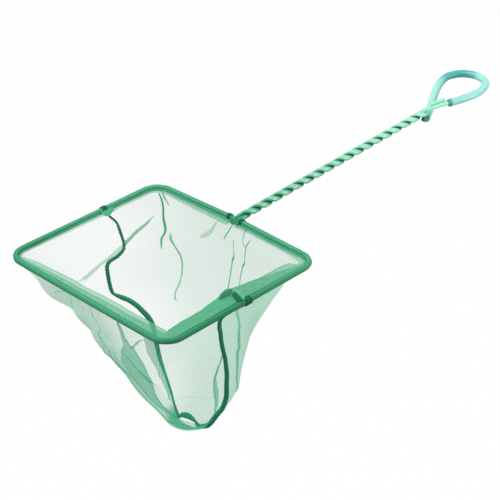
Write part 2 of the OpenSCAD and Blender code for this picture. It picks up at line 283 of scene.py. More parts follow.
def joined(name, meshes):
    """Several meshes as one."""
    bm = bmesh.new()
    for mesh in meshes:
        bm.from_mesh(mesh)
        bpy.data.meshes.remove(mesh)
    whole = bpy.data.meshes.new(name)
    bm.to_mesh(whole)
    bm.free()
    return whole

# %% Blending


def mix(a, b, f):
    return a + (b - a) * f


def eased(f):
    """A share from 0 to 1, or an array of them, that starts and ends gently."""
    f = np.clip(f, 0, 1)
    return f * f * (3 - 2 * f)

# %% [markdown]
# ## Paths
# Wire, thread and hem all follow paths. A bent wire has straights with round corners, and a
# soft one a smooth curve through a few points, so there is one helper for each. Two more put
# the points of a path at even steps, and tell its direction and length at each point.

# %% Bent paths
ARC_STEPS = 10


def bend(a, b, c, radius):
    """Points of the arc that rounds the corner b between a and c."""
    u, v = (a - b).normalized(), (c - b).normalized()
    half = math.acos(max(-1, min(1, u.dot(v)))) / 2
    middle = b + (u + v).normalized() * radius / math.sin(half)
    start, end = b + u * radius / math.tan(half) - middle, b + v * radius / math.tan(half) - middle
    turn = math.pi - 2 * half
    return [middle + (math.sin((1 - i / ARC_STEPS) * turn) * start
                      + math.sin(i / ARC_STEPS * turn) * end) / math.sin(turn)
            for i in range(ARC_STEPS + 1)]


def rounded(corners, radii, step):
    """A path through corners, with each inner corner rounded and straights cut into steps."""
    arcs = [[p] if i in (0, len(corners) - 1) else
            bend(corners[i - 1], p, corners[i + 1], radii[i]) for i, p in enumerate(corners)]
    path = list(arcs[0])
    for arc in arcs[1:]:
        start, count = path[-1], max(1, round((arc[0] - path[-1]).length / step))
        path += [start.lerp(arc[0], k / count) for k in range(1, count)] + arc
    return path

# %% Smooth and even paths


def resampled(path, shares):
    """Points at given shares of a path's length."""
    path = np.array(path)
    walked = np.r_[0, np.cumsum(np.linalg.norm(np.diff(path, axis=0), axis=1))]
    return np.stack([np.interp(shares, walked / walked[-1], path[:, k]) for k in range(3)], axis=1)


def even_path(path, step):
    """The same path with its points at equal steps."""
    length = sum((Vector(b) - Vector(a)).length for a, b in zip(path, path[1:]))
    return [Vector(p) for p in resampled(path, np.linspace(0, 1, round(length / step)))]


def through(points, steps=8):
    """A smooth curve through points, with the same number of steps between each two."""
    last = len(points) - 1
    path = []
    for i in range(last):
        a, b = points[max(0, i - 1)], points[i]
        c, d = points[i + 1], points[min(last, i + 2)]
        for j in range(steps):
            f = j / steps
            path.append(b + 0.5 * f * ((c - a) + f * ((2 * a - 5 * b + 4 * c - d)
                                                     + f * (3 * b - a - 3 * c + d))))
    return path + [points[last]]


def directions(path):
    last = len(path) - 1
    return [(path[min(last, i + 1)] - path[max(0, i - 1)]).normalized() for i in range(last + 1)]


def stations(path):
    """Each point of a path with its direction and how far it lies from the start."""
    walked = [0.0]
    for a, b in zip(path, path[1:]):
        walked.append(walked[-1] + (b - a).length)
    return list(zip(path, directions(path), walked))

# %% [markdown]
# ## The wire
# The whole metal part is one wire. It starts at a free tip, runs down the handle as one strand,
# round the hoop, back up as the other strand, and on round the hanging loop. So we first lay
# one path through all of that, as a bender would, and then cut lengths of it for each piece.

# %% Sizes of the wire
HANDLE_LENGTH, TURN_LENGTH, TWIST_LEAD = 188.0, 20.4, 5.4
STRAND_GAP = 0.22
TIP_LENGTH, LOOP_LENGTH, LOOP_WIDTH, LOOP_DROP = 24.0, 74.0, 34.0, 6.0
# Shares of the loop's length, width and drop, from the twist round to the tail
LOOP_SHARES = [
    (0.16, -0.05, 0.25), (0.26, -0.09, 0.15), (0.355, -0.135, 0.07), (0.525, -0.24, 0),
    (0.74, -0.305, 0), (0.925, -0.16, 0), (1, 0.17, 0), (0.95, 0.5, 0),
    (0.825, 0.68, -0.05), (0.7, 0.665, -0.18), (0.585, 0.58, -0.35), (0.465, 0.455, -0.56),
    (0.355, 0.325, -0.79), (0.22, 0.16, -1), (0.087, 0.018, -1), (0.04, -0.04, -0.82),
    (0, -0.07, -0.5)]
# Shares of the tip's length, and of the twist's radius across and up
TIP_SHARES = [(0.52, 1.3, 0.75), (0.67, 0.6, 1.45), (0.83, -0.5, 1.85), (1, -1.5, 2)]
LEFT_OVER_SHARE, RIGHT_OVER_SHARE = 0.2, 0.4
TWIST_R = WIRE_R + STRAND_GAP / 2
PRESSED_R, PRESSED_WIDTH, PRESSED_END = 1.36, 1.33, 4.0
# Shares of the coat's radius, measured outwards from the strand's own middle, where the painted
# groove shade and the painted highlight begin, and how far they blur
GROOVE_SHADE_FROM, GROOVE_SHADE_BLUR = 0.1, 0.5
HIGHLIGHT_FROM, HIGHLIGHT_BLUR = 0.5, 0.45
ROOT_OUT = 1.1 * ROOT_R
WIRE_STEP = 1.0

# %% The twist


def turned(x):
    """How far the twist has turned at x along the handle, in radians."""
    y, rate = x - ROOT_OUT, 2 * math.pi / TURN_LENGTH
    return rate * y * y / (2 * TWIST_LEAD) if y < TWIST_LEAD else rate * (y - TWIST_LEAD / 2)


def pressed(mesh, start):
    """Widens one strand where the other presses on it, as the soft coats do in a tight twist. It
    also paints two attributes for the coat: a painted shade where the two strands meet, and a
    painted highlight on the outside of each turn."""
    groove = mesh.attributes.new("groove", "FLOAT", "POINT")
    proud = mesh.attributes.new("proud", "FLOAT", "POINT")
    for vertex, low, high in zip(mesh.vertices, groove.data, proud.data):
        x, y, z = from_handle(vertex.co)
        share = eased((x - ROOT_OUT) / TWIST_LEAD)
        share *= eased((HANDLE_LENGTH + PRESSED_END - x) / (2 * PRESSED_END))
        outward = Vector((math.cos(turned(x) + start), math.sin(turned(x) + start)))
        round_it = Vector((-outward.y, outward.x))
        off = Vector((y, z)) - TWIST_R * outward
        rise = off.dot(outward) / WIRE_R
        # painted shade where the two strands meet
        low.value = share * eased((GROOVE_SHADE_FROM - rise) / GROOVE_SHADE_BLUR)
        # painted highlight on the outside of each turn
        high.value = share * eased((rise - HIGHLIGHT_FROM) / HIGHLIGHT_BLUR)
        place = outward * (mix(TWIST_R, PRESSED_R, share) + off.dot(outward))
        place += round_it * off.dot(round_it) * mix(1, PRESSED_WIDTH, share)
        vertex.co = on_handle(x, place.x, place.y)
    return mesh


def strand(start, over):
    """The path of one strand, from the hoop's root to a share of a turn past the handle."""
    end = HANDLE_LENGTH + over * TURN_LENGTH
    places = np.linspace(ROOT_OUT, end, round((end - ROOT_OUT) / WIRE_STEP) + 1)[1:]
    return [on_handle(x, TWIST_R * math.cos(turned(x) + start),
                      TWIST_R * math.sin(turned(x) + start)) for x in places]

# %% The wire's path
corner_right = Vector((HANDLE_SIDE_X, -HALF_W, 0))
corner_near = Vector((END_SIDE_X, -HALF_W, 0))
corner_left = Vector((END_SIDE_X, HALF_W, 0))
corner_back = Vector((HANDLE_SIDE_X, HALF_W, 0))
root_right, root_left = Vector((0, -TWIST_R, 0)), Vector((0, TWIST_R, 0))
out = Vector((ROOT_OUT, 0, 0))
hoop_path = rounded(
    [root_right + out, root_right, corner_right, corner_near, corner_left, corner_back,
     root_left, root_left + out],
    [0, ROOT_R, CORNER_R, CORNER_R, CORNER_R, CORNER_R, ROOT_R, 0], WIRE_STEP)
left_strand, right_strand = strand(0, LEFT_OVER_SHARE), strand(math.pi, RIGHT_OVER_SHARE)
loop_points = [on_handle(HANDLE_LENGTH + a * LOOP_LENGTH, b * LOOP_WIDTH, c * LOOP_DROP)
               for a, b, c in LOOP_SHARES]
tip_points = [on_handle(HANDLE_LENGTH + a * TIP_LENGTH, b * TWIST_R, c * TWIST_R)
              for a, b, c in TIP_SHARES]
loop_path = through([left_strand[-1]] + loop_points)
tip_path = through([right_strand[-1]] + tip_points)
right_wire = list(reversed(tip_path)) + list(reversed(right_strand))[1:] + [hoop_path[0]]
left_wire = [hoop_path[-1]] + left_strand
whole_wire = right_wire[:-1] + hoop_path + left_strand[:-1] + loop_path
print("length of the wire", round(stations(whole_wire)[-1][2]), "mm")

# %% [markdown]
# ## Finish: drawn steel and its plastic coat
# The core is zinc-plated mild steel, drawn through a die, so it is a metal with fine lines. The
# coat is soft PVC that is extruded round it. Pigmented PVC is a dielectric with a clear gloss, and
# the twist has stretched it a little, which gives it a slow wave. Near the hoop the coat is a deep
# green and towards the loop a paler one, so the colour is mixed along the handle. Painted shade
# darkens it where the two strands meet, and a painted highlight makes it paler on the outside of
# each turn.

# %% Steel
DRAW_MARKS, DRAW_RELIEF = 1.11, 0.05


def grained(name, hexes, size, strength, relief, shader):
    """A material of two tones in grains of a real size in millimetres, which also stand proud."""
    material, tree = new_material(name)
    place = add(tree, "ShaderNodeTexCoord").outputs["Object"]
    grain = add(tree, "ShaderNodeTexNoise", {"Vector": place, "Scale": 1 / (size * MM),
        "Detail": 3.0})
    colour = add(tree, "ShaderNodeMix", {0: grain, 6: linear(hexes[0]), 7: linear(hexes[1])},
        data_type="RGBA")
    bump = add(tree, "ShaderNodeBump", {"Height": grain, "Strength": strength,
        "Distance": relief * MM})
    close(tree, add(tree, "ShaderNodeBsdfPrincipled", {"Base Color": colour, "Normal": bump,
        **shader}))
    return material


# A dull grey metal with fine marks of the die, drawn coarser than they are
steel = grained("drawn galvanised steel", ("#9C9FA1", "#C3C5C6"), DRAW_MARKS, 0.2, DRAW_RELIEF,
                {"Metallic": 1.0, "Roughness": 0.38})

# %% Coat
COAT_NEAR, COAT_FAR = "#24966A", "#94DCBE"
# Painted shade for where the strands meet, painted highlight for the outside of each turn, and how
# much of that highlight is mixed in
COAT_GROOVE_SHADE, COAT_HIGHLIGHT, HIGHLIGHT_SHARE = "#147048", "#B9F3DC", 0.3
COAT_CLOUDS, COAT_RIPPLES, RIPPLE_RELIEF = 7.14, 2.0, 0.1


def extruded_pvc():
    """Glossy pigmented plastic: an even colour with faint clouds, and slow ripples in its shine."""
    material, tree = new_material("extruded PVC coat")
    place = add(tree, "ShaderNodeTexCoord").outputs["Object"]
    parts = add(tree, "ShaderNodeSeparateXYZ", {0: place})
    share = add(tree, "ShaderNodeMapRange", {"Value": parts.outputs["X"],
        "From Min": -GRIP_FROM_HOOP * MM, "From Max": (HANDLE_LENGTH - GRIP_FROM_HOOP) * MM})
    colour = add(tree, "ShaderNodeMix", {0: share, 6: linear(COAT_NEAR), 7: linear(COAT_FAR)},
        data_type="RGBA")
    cloud = add(tree, "ShaderNodeTexNoise", {"Vector": place, "Scale": 1 / (COAT_CLOUDS * MM),
        "Detail": 2.0})
    tone = add(tree, "ShaderNodeMapRange", {"Value": cloud, "To Min": 0.88, "To Max": 1.1})
    mottled = add(tree, "ShaderNodeHueSaturation", {"Color": colour, "Value": tone})
    # Painted shade darkens the coat where the two strands meet
    groove = add(tree, "ShaderNodeAttribute", attribute_name="groove").outputs["Fac"]
    shaded_in_groove = add(tree, "ShaderNodeMix", {0: groove, 6: mottled, 7: linear(COAT_GROOVE_SHADE)},
        data_type="RGBA")
    # A painted highlight pales the outside of each turn
    proud = add(tree, "ShaderNodeAttribute", attribute_name="proud").outputs["Fac"]
    paler = add(tree, "ShaderNodeMath", {0: proud, 1: HIGHLIGHT_SHARE}, operation="MULTIPLY")
    stretched = add(tree, "ShaderNodeMix", {0: paler, 6: shaded_in_groove, 7: linear(COAT_HIGHLIGHT)},
        data_type="RGBA")
    ripple = add(tree, "ShaderNodeTexNoise", {"Vector": place, "Scale": 1 / (COAT_RIPPLES * MM),
        "Detail": 2.0})
    bump = add(tree, "ShaderNodeBump", {"Height": ripple, "Strength": 0.15,
        "Distance": RIPPLE_RELIEF * MM})
    close(tree, add(tree, "ShaderNodeBsdfPrincipled", {"Base Color": stretched, "Roughness": 0.3,
        "IOR": 1.53, "Specular IOR Level": 0.6, "Normal": bump}))
    return material


pvc = extruded_pvc()
print("coat goes from", COAT_NEAR, "to", COAT_FAR)

# %% [markdown]
# ## The wire's pieces
# A curve with a round bevel is the quickest smooth wire: it keeps the true path and costs few
# faces. The core is one length; its coat is cut where the pieces of the frame meet.

# %% Core and coats
# How many sides a tube has: the core and the hoop's coat are hidden, so they need fewer
CORE_RING, HOOP_RING, COAT_RING = 10, 20, 24
COATS = {"hoop": tubes([hoop_path], WIRE_R, HOOP_RING),
         "left_strand": pressed(tubes([left_wire], WIRE_R, COAT_RING), 0),
         "right_strand": pressed(tubes([right_wire], WIRE_R, COAT_RING), math.pi),
         "loop": tubes([loop_path], WIRE_R, COAT_RING)}
finish_piece("steel_core", tubes([whole_wire], CORE_R, CORE_RING), steel,
             ["wire_core"])
for length, mesh in COATS.items():
    finish_piece("coat_of_" + length, mesh, pvc, [length + "_coat"])

# %% [markdown]
# ## The sleeve
# The hanging loop is pushed through a length of soft clear vinyl tube, tinted aqua. A real tube has
# a wall: we sweep the outside and give it that wall with Solidify, so that the wire inside is seen
# through it. Along part of the loop its tint is painted deeper, as painted shade. The cut ends are
# painted dark, as painted shade inside the tube's bore, and each swells a little round the wire, so
# it is a bead that follows the wire and closes on it like a lip.

# %% Sleeve
SLEEVE_R, SLEEVE_WALL, SLEEVE_RING = 2.8, 0.7, 28
# Between which points of LOOP_SHARES the sleeve sits
SLEEVE_FROM, SLEEVE_TO = 2, 14
BEAD_R, BEAD_DEPTH, LAST_BEAD_DEPTH, LIP_R, BEAD_STEP = 3.0, 2.6, 9.0, 1.6, 0.2
TINT_CLOUDS, TINT_SHIFT = 11.1, 0.12
# Share of the sleeve's length, and how deep its tint is painted there, as painted shade
SLEEVE_SHADE_SHARES = [(0, 0.3), (0.1, 0.2), (0.26, 0.06), (0.32, 0), (0.36, 0.8), (0.42, 1),
               (0.54, 0.8), (0.6, 0.3), (0.68, 0.05), (0.9, 0.05), (1, 0.3)]


def vinyl(name, hex_pale, hex_deep, body, rough):
    """Soft clear plastic: part of the light goes through, and the tint has faint clouds."""
    material, tree = new_material(name)
    # The tint attribute holds the painted shade along the sleeve
    tint = add(tree, "ShaderNodeAttribute", attribute_name="tint").outputs["Fac"]
    place = add(tree, "ShaderNodeTexCoord").outputs["Object"]
    cloud = add(tree, "ShaderNodeTexNoise", {"Vector": place, "Scale": 1 / (TINT_CLOUDS * MM),
        "Detail": 1.0})
    shift = add(tree, "ShaderNodeMapRange", {"Value": cloud, "To Min": -TINT_SHIFT,
        "To Max": TINT_SHIFT})
    share = add(tree, "ShaderNodeMath", {0: tint, 1: shift}, operation="ADD", use_clamp=True)
    colour = add(tree, "ShaderNodeMix", {0: share, 6: linear(hex_pale), 7: linear(hex_deep)},
        data_type="RGBA")
    close(tree, add(tree, "ShaderNodeBsdfPrincipled", {"Base Color": colour, "Roughness": rough,
        "IOR": 1.52, "Alpha": body}))
    return material


clear_vinyl = vinyl("tinted clear vinyl", "#A6EBE0", "#3BAFA8", 0.85, 0.35)
# The cut ends are one dark colour, painted shade for the inside of the tube's bore
shaded_cut_vinyl = vinyl("cut vinyl edge in painted shade", "#1B9079", "#1B9079", 1.0, 0.6)


def add_sleeve(route):
    mesh = tubes([route], SLEEVE_R, SLEEVE_RING, caps=False)
    places = np.array(route)
    # Paints the shade along the sleeve's length onto its points
    tint = mesh.attributes.new("tint", "FLOAT", "POINT")
    for vertex, value in zip(mesh.vertices, tint.data):
        nearest = int(np.argmin(np.linalg.norm(places - np.array(vertex.co), axis=1)))
        value.value = float(np.interp(nearest / (len(route) - 1), *zip(*SLEEVE_SHADE_SHARES)))
    sleeve = finish_piece("vinyl_sleeve", mesh, clear_vinyl, ["loop_sleeve"])
    wall = sleeve.modifiers.new("wall", "SOLIDIFY")
    wall.thickness, wall.offset = SLEEVE_WALL * MM, -1


def add_cut_end(name, path, length):
    """A dome over the end of the sleeve's wall, which goes on along the wire as a lip."""
    path = even_path(path, BEAD_STEP)[:round(length / BEAD_STEP)]
    domes = [math.sqrt(max(0, 1 - (BEAD_STEP * i / BEAD_DEPTH) ** 2)) for i in range(len(path))]
    swell = [max(LIP_R / BEAD_R, dome) for dome in domes]
    finish_piece(name, tubes([path], BEAD_R, SLEEVE_RING, swell=swell), shaded_cut_vinyl)


steps = (len(loop_path) - 1) // len(LOOP_SHARES)
start, stop = (SLEEVE_FROM + 1) * steps, (SLEEVE_TO + 1) * steps
add_sleeve(loop_path[start:stop + 1])
add_cut_end("first_cut_end", list(reversed(loop_path[:start + 2])), BEAD_DEPTH)
add_cut_end("last_cut_end", loop_path[stop - 1:], LAST_BEAD_DEPTH)

# %% [markdown]
# ## Finish: knitted nylon mesh
# The cloth is a fine nylon mesh. Each hole is about a millimetre wide, too many to model, so the
# material cuts them: round holes on a diamond grid, laid out in the flat millimetres of the cloth.
# The share of the cloth that is thread is painted on the points as "cover": low on a single layer
# and higher where the mesh is bunched in a crease. Above one it stands for several layers, which
# look darker, and on the hem's rim and at one joint it also stands for painted shade. Fine fibres
# veil each hole a little, and part of the light comes through the thread, so that the bag glows
# where it is lit from behind.

# %% Mesh material
HOLE_EDGE, YARN_LENGTH, MESH_RELIEF = 0.14, 2.0, 0.1
MANY_LAYERS_AND_SHADE = "#11633F"


def knitted_nylon(name, hex_dark, hex_light, pitch, contrast, lit_through):
    """Dull thread round open holes; contrast says how sharply the holes stand out."""
    material, tree = new_material(name)
    flat = add(tree, "ShaderNodeUVMap", uv_map="flat")
    grid = add(tree, "ShaderNodeMapping", {"Vector": flat, "Rotation": (0, 0, math.radians(45)),
        "Scale": (1 / pitch, 1 / pitch, 1)})
    holes = add(tree, "ShaderNodeTexVoronoi", {"Vector": grid, "Scale": 1.0, "Randomness": 0.0},
        voronoi_dimensions="2D")
    paint = add(tree, "ShaderNodeAttribute", attribute_name="cover").outputs["Fac"]
    cover = add(tree, "ShaderNodeMath", {0: paint, 1: 1.0}, operation="MINIMUM")
    layers = add(tree, "ShaderNodeMath", {0: paint, 1: 1.0}, operation="SUBTRACT", use_clamp=True)
    # Each cell is one square unit, so a round hole of this radius is the share that is open
    gap = add(tree, "ShaderNodeMath", {0: 1.0, 1: cover}, operation="SUBTRACT")
    area = add(tree, "ShaderNodeMath", {0: gap, 1: math.pi}, operation="DIVIDE")
    radius = add(tree, "ShaderNodeMath", {0: area}, operation="SQRT")
    inner, outer = (add(tree, "ShaderNodeMath", {0: radius, 1: HOLE_EDGE}, operation=way)
                    for way in ("SUBTRACT", "ADD"))
    thread = add(tree, "ShaderNodeMapRange", {"Value": holes, "From Min": inner,
        "From Max": outer})
    veil = add(tree, "ShaderNodeMix", {0: contrast, 2: cover, 3: thread})
    yarn = add(tree, "ShaderNodeTexNoise", {"Vector": flat, "Scale": 1 / YARN_LENGTH,
        "Detail": 4.0})
    colour = add(tree, "ShaderNodeMix", {0: yarn, 6: linear(hex_dark), 7: linear(hex_light)},
        data_type="RGBA")
    # Cover above one mixes in the dark of many layers, which on the hem is partly painted shade
    deeper = add(tree, "ShaderNodeMix", {0: layers, 6: colour, 7: linear(MANY_LAYERS_AND_SHADE)},
        data_type="RGBA")
    bump = add(tree, "ShaderNodeBump", {"Height": holes, "Strength": 0.3,
        "Distance": MESH_RELIEF * MM})
    body = add(tree, "ShaderNodeBsdfPrincipled", {"Base Color": deeper, "Roughness": 0.7,
        "Specular IOR Level": 0.15, "Normal": bump})
    backlit = add(tree, "ShaderNodeBsdfTranslucent", {"Color": deeper})
    lit = add(tree, "ShaderNodeMixShader", {0: lit_through, 1: body, 2: backlit})
    hole = add(tree, "ShaderNodeBsdfTransparent")
    close(tree, add(tree, "ShaderNodeMixShader", {0: veil, 1: hole, 2: lit}))
    return material


near_cloth = knitted_nylon("knitted nylon mesh", "#35AF80", "#58CFA0", 1.15, 0.4, 0.45)
far_cloth = knitted_nylon("knitted nylon mesh in shade", "#37A97B", "#58C89B", 1.15, 0.16, 0.45)
hem_cloth = knitted_nylon("doubled nylon mesh", "#38926A", "#5AB28A", 0.9, 0.4, 0.05)

# %% Cloth meshes


def flat_places(grid):
    """Where each point of a panel lies in the flat cloth, in millimetres."""
    across = np.linalg.norm(np.diff(grid, axis=1), axis=2)
    across = np.concatenate([np.zeros((len(grid), 1)), np.cumsum(across, axis=1)], axis=1)
    down = np.linalg.norm(np.diff(grid, axis=0), axis=2).mean(axis=1)
    down = np.r_[0, np.cumsum(down)]
    middle = across[:, -1:] / 2
    return np.stack([across - middle, np.broadcast_to(down[:, None], across.shape)], axis=2)


def cloth_mesh(name, points, cover, flat):
    """A sheet from a grid of points, with the cover and the flat place of each point."""
    rows, columns = points.shape[:2]
    bm = bmesh.new()
    bmesh.ops.create_grid(bm, x_segments=columns - 1, y_segments=rows - 1, size=1)
    mesh = bpy.data.meshes.new(name)
    bm.to_mesh(mesh)
    bm.free()
    start = np.empty(rows * columns * 3, dtype=np.float32)
    mesh.vertices.foreach_get("co", start)
    start = start.reshape(-1, 3)
    column = np.rint((start[:, 0] + 1) / 2 * (columns - 1)).astype(int)
    row = np.rint((start[:, 1] + 1) / 2 * (rows - 1)).astype(int)
    mesh.vertices.foreach_set("co", points[row, column].astype(np.float32).ravel())
    paint = mesh.attributes.new("cover", "FLOAT", "POINT")
    paint.data.foreach_set("value", cover[row, column].astype(np.float32))
    corners = np.empty(len(mesh.loops), dtype=np.int32)
    mesh.loops.foreach_get("vertex_index", corners)
    layer = mesh.uv_layers.new(name="flat")
    layer.data.foreach_set("uv", flat[row, column][corners].astype(np.float32).ravel())
    mesh.update()
    return mesh

# %% [markdown]
# ## The hem
# The bag's edge is turned round the wire and sewn to itself, which leaves a flap inside the
# hoop. On the right side the flap is wide and dense, on the side away from the handle it is
# thinner, and on the other two only a narrow strip hangs under the wire. We walk along the wire
# and lay the cloth's section at each step: out along the upper layer, round the wire and back
# below.

# %% Sizes of the hem
RIM_R, RIB_PROUD, LAYER_GAP = 1.76, 0.09, 0.3
WRAP_FROM, WRAP_TO, WRAP_STEPS = 38.0, 322.0, 40
# Lines along the rim: angle in degrees, spread, how proud they are and how dark they are painted,
# which is painted shade
RIM_RIBS_AND_SHADE = [(42, 7, 0, 0.75), (92, 8, 1, -0.1), (128, 9, 0, 0.35), (160, 9, 1, 0.3),
             (205, 14, 1, 0.3), (250, 22, 0.5, 0.75), (318, 8, 0, 0.6)]
FLAP_STEPS, FLAP_ROOT, LEAST_UPPER = 8, 0.5, 0.8
GATHER_PITCH, GATHER_PROUD, GATHER_REACH = 2.3, 0.09, 2.2 * CORNER_R
# Waves of the flap's width and tilt: how much, in millimetres and degrees, and how long
FLAP_WAVE, FLAP_WAVE_LENGTH = 0.5, 9
FLAP_SWING, FLAP_SWING_LENGTH = 5, 16
WAVE_ROW, SWING_ROW = 3.1, 7.7  # rows of the noise, so that the two waves differ
# For each side, from its first corner to its second: share of the side, width of the flap in
# millimetres, its tilt in degrees, how much of it is thread, the share of the width that the
# upper layer covers too, and how dark the cloth on the wire is
RIGHT_FLAP = [(0, 8.8, 2, 0.72, 0.9, 1.5), (0.08, 9.4, 3, 0.76, 0.95, 1.6),
              (0.35, 10.6, 5, 0.8, 1, 1.6), (0.47, 12, 10, 0.8, 1, 1.6),
              (0.53, 12, 9, 0.74, 1, 1.5), (0.7, 10.4, 5, 0.68, 0.9, 1.4),
              (0.88, 10, 3, 0.62, 0.45, 1.3), (1, 5, -10, 0.55, 0.4, 1.2)]
END_FLAP = [(0, 3.5, -15, 0.6, 0.5, 1.4), (0.12, 6, 0, 0.56, 0.45, 1.3),
            (0.35, 7.4, 4, 0.56, 0.55, 1.25), (0.65, 8.6, 3, 0.58, 0.6, 1.25),
            (0.9, 9, 2, 0.66, 0.7, 1.35), (1, 8.8, 2, 0.72, 0.9, 1.5)]
LEFT_FLAP = [(0, 2, -25, 0.5, 0.6, 1.4), (0.15, 1.8, -25, 0.5, 0.5, 1.4),
             (0.5, 2.6, -20, 0.5, 0.5, 1.2), (0.62, 2.8, -20, 0.5, 0.5, 1.15),
             (1, 2.4, -25, 0.55, 0.6, 1.05)]
HANDLE_FLAP = [(0, 2.4, -25, 0.55, 0.6, 1.05), (0.25, 3.8, -22, 0.6, 0.5, 1.15),
               (0.44, 4.8, -22, 0.65, 0.5, 1.25), (0.56, 3, -25, 0.6, 0.6, 1.2),
               (0.8, 2.4, -28, 0.55, 0.8, 1.15), (1, 5, -10, 0.45, 0.4, 1.15)]

# %% The hem's section


def flap_at(p):
    """What the tables of flaps say at a point of the hoop, without the share of the side."""
    along, across = (p.x - END_SIDE_X) / CENTRE_LENGTH, (HALF_W - p.y) / (2 * HALF_W)
    sides = [(p.y + HALF_W, along, RIGHT_FLAP), (p.x - END_SIDE_X, across, END_FLAP),
             (HALF_W - p.y, along, LEFT_FLAP), (HANDLE_SIDE_X - p.x, across, HANDLE_FLAP)]
    _, share, table = min(sides, key=lambda s: s[0])
    shares = [row[0] for row in table]
    return [float(np.interp(share, shares, [row[k] for row in table])) for k in range(1, 6)]


def corner_away(p):
    """How far the nearest corner of the hoop is."""
    return min((p - c).length for c in (corner_right, corner_near, corner_left, corner_back))


def in_section(p, t, tilt, a, b):
    """The point of the section at p that is a into the hoop and b up, turned by tilt."""
    inward = t.cross(Vector((0, 0, 1))).normalized()
    c, s = math.cos(tilt), math.sin(tilt)
    return p + inward * (a * c - b * s) + Vector((0, 0, a * s + b * c))


def waved(tilt, walked):
    """The tilt of a flap in radians, with its slow wave."""
    swing = noise.noise(Vector((walked / FLAP_SWING_LENGTH, 0, SWING_ROW)))
    return math.radians(tilt + FLAP_SWING * swing)


def hem_section(p, t, walked):
    """Points across the hem at one step, with their covers and places across the cloth."""
    width, tilt, cover, upper, rim = flap_at(p)
    width += FLAP_WAVE * noise.noise(Vector((walked / FLAP_WAVE_LENGTH, WAVE_ROW, 0)))
    tilt = waved(tilt, walked)
    near_corner = eased(1 - corner_away(p) / GATHER_REACH)
    gather = GATHER_PROUD * near_corner * math.sin(2 * math.pi * walked / GATHER_PITCH)
    start = RIM_R + FLAP_ROOT
    edge, upper_edge = RIM_R + width, RIM_R + max(LEAST_UPPER, width * upper)
    points, covers = [], []
    for k in range(FLAP_STEPS):
        f = k / FLAP_STEPS
        points.append((mix(upper_edge, start, f), mix(LAYER_GAP / 2, LAYER_GAP, f)))
        covers.append(cover if k else 1)
    for k in range(WRAP_STEPS + 1):
        angle = mix(WRAP_FROM, WRAP_TO, k / WRAP_STEPS)
        lines = [(math.exp(-((angle - g) / spread) ** 2), proud, dark)
                 for g, spread, proud, dark in RIM_RIBS_AND_SHADE]
        r = RIM_R + RIB_PROUD * sum(n * proud for n, proud, _ in lines) + gather
        points.append((r * math.cos(math.radians(angle)), r * math.sin(math.radians(angle))))
        # The rim's cover rises along the lines, as painted shade
        covers.append(rim + sum(n * dark for n, _, dark in lines))
    for k in range(1, FLAP_STEPS + 1):
        f = k / FLAP_STEPS
        points.append((mix(start, edge, f), -mix(LAYER_GAP, LAYER_GAP / 2, f)))
        covers.append(cover if k < FLAP_STEPS else 1)
    places = [in_section(p, t, tilt, a, b) for a, b in points]
    return places, covers, [across for _, _, across in stations(places)]

# %% Hem pieces
SCRAP_ALONG, SCRAP_ACROSS = 28, 14


def scrap(name, first, second, cover, swell):
    """A turned-over end of the hem, between two curved edges."""
    shares = np.linspace(0, 1, SCRAP_ALONG)
    a, b = (resampled(through([Vector(p) for p in edge]), shares) for edge in (first, second))
    across = np.linspace(0, 1, SCRAP_ACROSS)[:, None, None]
    grid = mix(a[None], b[None], across)
    grid[..., 2] += swell * np.sin(np.pi * across[..., 0])
    return cloth_mesh(name, grid, np.full(grid.shape[:2], cover), flat_places(grid))


def add_hem(name, path, node, scraps):
    points, covers, flat = [], [], []
    for p, way, walked in stations(path):
        places, cover, across = hem_section(p, way, walked)
        points.append(places)
        covers.append(cover)
        flat.append([(walked, a) for a in across])
    mesh = cloth_mesh(name, np.array(points), np.array(covers), np.array(flat))
    mesh = joined(name, [mesh] + [scrap(*row) for row in scraps])
    piece = finish_piece(name, mesh, hem_cloth, [node])

# %% [markdown]
# The hem is in three lengths. They meet at the bag's two seams, and stop on both sides of the
# slot that lets the handle out. Where lengths meet, an end is turned over. Such a scrap is
# drawn between two curved edges and swells a little between them.

# %% The hem's three lengths
JOIN_LEFT_SHARE, JOIN_RIGHT_SHARE = 0.38, 0.5
JOIN_LAP, SLOT_OUT = 0.4, 2.6
HEM_STEP = 0.7
join_left = Vector((HANDLE_SIDE_X - JOIN_LEFT_SHARE * CENTRE_LENGTH, HALF_W, 0))
join_right = Vector((HANDLE_SIDE_X - JOIN_RIGHT_SHARE * CENTRE_LENGTH, -HALF_W, 0))
slot_x = -SIDE_BOW * SLOT_OUT / HALF_W
lap = Vector((JOIN_LAP, 0, 0))
near_path = rounded([join_left + lap, corner_left, corner_near, join_right + lap],
                    [0, CORNER_R, CORNER_R, 0], HEM_STEP)
left_path = rounded([join_left - lap, corner_back, Vector((slot_x, SLOT_OUT, 0))],
                    [0, CORNER_R, 0], HEM_STEP)
right_path = rounded([Vector((slot_x, -SLOT_OUT, 0)), corner_right, join_right - lap],
                     [0, CORNER_R, 0], HEM_STEP)
HEMS = {"near": list(reversed(near_path)), "left": left_path, "right": right_path}
# Name, first edge, second edge, cover and swell, in millimetres at the hoop
JOINT_FOLD = ("joint_fold", [(-75.4, -60.9, 4), (-69.5, -60.2, 5.2), (-65.2, -61.3, 4.6)],
              [(-76.3, -62.3, 0.6), (-71.5, -63, 0.6), (-66.8, -63.8, 0.8)], 1.4, 0.3)
